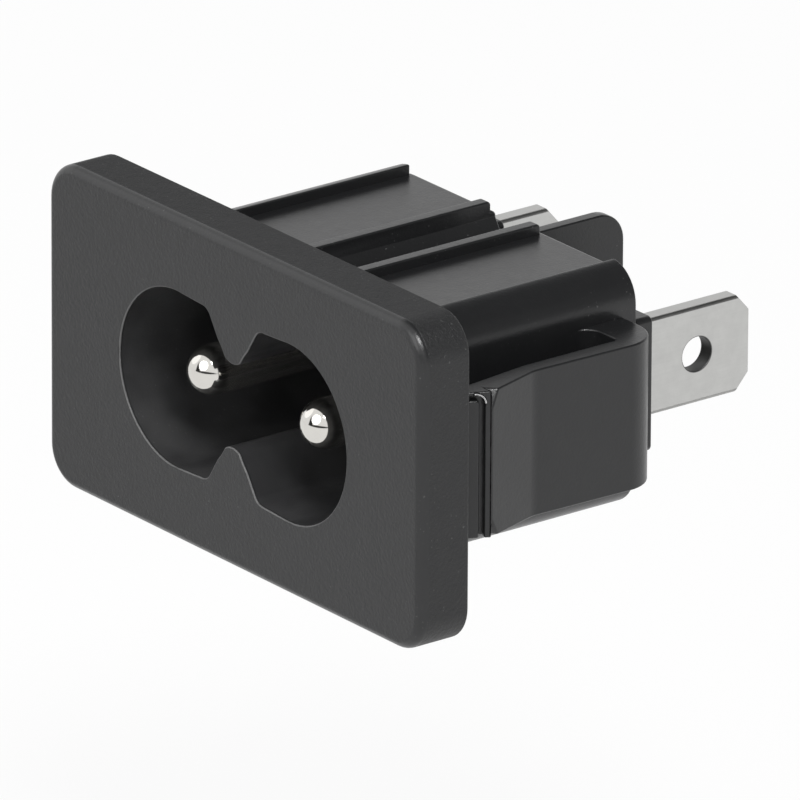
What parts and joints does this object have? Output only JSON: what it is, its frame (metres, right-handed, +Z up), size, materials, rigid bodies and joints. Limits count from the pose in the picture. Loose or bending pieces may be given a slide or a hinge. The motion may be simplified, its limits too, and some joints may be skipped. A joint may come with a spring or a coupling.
{
  "type": "figure eight power connector",
  "caption": "Snap-in mains inlet with a figure-eight recess round two contact pins, a flange, two snap arms and two blade terminals behind a barrier.",
  "frame": {"origin": "centre of the flange's back face, in the plane that seats on the panel", "axes": "+X to the right seen from the front, +Y to the rear through the panel, +Z up"},
  "size_m": [0.0286, 0.0243, 0.016],
  "materials": {
    "black_plastic": "fine matte",
    "pin_plating": "polished nickel",
    "tab_plating": "satin tin"
  },
  "bodies": {
    "root": {"housing": "black_plastic", "contact_pin_left": "pin_plating", "contact_pin_right": "pin_plating", "tab_terminal_left": "tab_plating", "tab_terminal_right": "tab_plating"}
  },
  "joints": []
}
